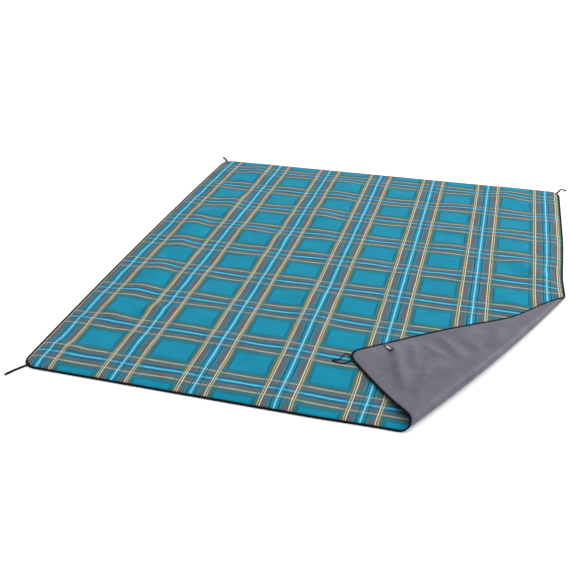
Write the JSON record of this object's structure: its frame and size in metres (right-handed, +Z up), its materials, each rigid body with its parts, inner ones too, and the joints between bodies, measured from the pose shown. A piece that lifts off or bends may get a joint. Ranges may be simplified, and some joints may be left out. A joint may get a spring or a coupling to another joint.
{
  "type": "camp blanket",
  "caption": "Padded plaid fleece camp blanket with a coated backing, taped edge and cord peg loops at its corners, lying flat with one corner turned back.",
  "frame": {"origin": "middle of the unfolded blanket's outline, on the ground under the backing", "axes": "+X to the blanket's right, +Y along its length to the back edge, +Z up out of the fleece face; the turned-back corner is the front right one"},
  "size_m": [1.8236, 2.1002, 0.0537],
  "materials": {
    "fleece": "brushed plaid fleece",
    "foam": "open-cell foam sheet",
    "backing": "coated plain-weave polyester, semi-matt",
    "binding": "woven binding tape with lockstitching",
    "cord": "braided round cord",
    "label": "woven satin tape with a plain pale bar"
  },
  "bodies": {
    "blanket": {"fleece_main": "fleece", "foam_main": "foam", "backing_main": "backing", "binding_main": "binding"},
    "fold_strip_1": {"fleece_fold_strip_1": "fleece", "foam_fold_strip_1": "foam", "backing_fold_strip_1": "backing", "binding_fold_strip_1_front": "binding", "binding_fold_strip_1_side": "binding"},
    "fold_strip_2": {"fleece_fold_strip_2": "fleece", "foam_fold_strip_2": "foam", "backing_fold_strip_2": "backing", "binding_fold_strip_2_front": "binding", "binding_fold_strip_2_side": "binding"},
    "fold_strip_3": {"fleece_fold_strip_3": "fleece", "foam_fold_strip_3": "foam", "backing_fold_strip_3": "backing", "binding_fold_strip_3_front": "binding", "binding_fold_strip_3_side": "binding"},
    "corner_flap": {"fleece_corner_flap": "fleece", "foam_corner_flap": "foam", "backing_corner_flap": "backing", "binding_corner_flap": "binding"},
    "front_left_loop": {"front_left_loop": "cord"},
    "back_left_loop": {"back_left_loop": "cord"},
    "back_right_loop": {"back_right_loop": "cord"},
    "front_right_loop": {"front_right_loop": "cord"},
    "side_label": {"side_label": "label"}
  },
  "joints": [
    {"name": "corner_fold_1", "type": "hinge", "parent": "blanket", "child": "fold_strip_1", "pos_m": [0.6427, -0.51021, 0], "axis": [0.4557, 0.8901, 0], "range_deg": [0, 46.37]},
    {"name": "corner_fold_2", "type": "hinge", "parent": "fold_strip_1", "child": "fold_strip_2", "pos_m": [0.65233, -0.51501, 0.01128], "axis": [0.4474, 0.8943, -0.0098], "range_deg": [0, 46.37]},
    {"name": "corner_fold_3", "type": "hinge", "parent": "fold_strip_2", "child": "fold_strip_3", "pos_m": [0.65177, -0.51445, 0.02685], "axis": [0.4478, 0.8938, -0.0233], "range_deg": [0, 46.37]},
    {"name": "corner_fold_4", "type": "hinge", "parent": "fold_strip_3", "child": "corner_flap", "pos_m": [0.6414, -0.50886, 0.03705], "axis": [0.4569, 0.889, -0.0322], "range_deg": [0, 46.37]},
    {"name": "front_left_loop_swing", "type": "hinge", "parent": "blanket", "child": "front_left_loop", "pos_m": [-0.85448, -0.99076, 0.0021], "axis": [-0.7986, 0.6018, 0], "range_deg": [0, 90]},
    {"name": "back_left_loop_swing", "type": "hinge", "parent": "blanket", "child": "back_left_loop", "pos_m": [-0.85683, 0.98889, 0.0021], "axis": [0.766, 0.6428, 0], "range_deg": [0, 90]},
    {"name": "back_right_loop_swing", "type": "hinge", "parent": "blanket", "child": "back_right_loop", "pos_m": [0.86052, 0.98552, 0.0021], "axis": [0.7071, -0.7071, 0], "range_deg": [0, 90]},
    {"name": "front_right_loop_swing", "type": "hinge", "parent": "corner_flap", "child": "front_right_loop", "pos_m": [0.1797, -0.6806, 0.01473], "axis": [-0.373, 0.9231, -0.0934], "range_deg": [0, 90]},
    {"name": "side_label_turn", "type": "hinge", "parent": "corner_flap", "child": "side_label", "pos_m": [0.27083, -0.56986, 0.01676], "axis": [-0.7865, -0.6175, -0.0108], "range_deg": [0, 170]}
  ],
  "couplings": [
    {"joint": "corner_fold_2", "follows": "corner_fold_1", "ratio": 1},
    {"joint": "corner_fold_3", "follows": "corner_fold_1", "ratio": 1},
    {"joint": "corner_fold_4", "follows": "corner_fold_1", "ratio": 1}
  ]
}
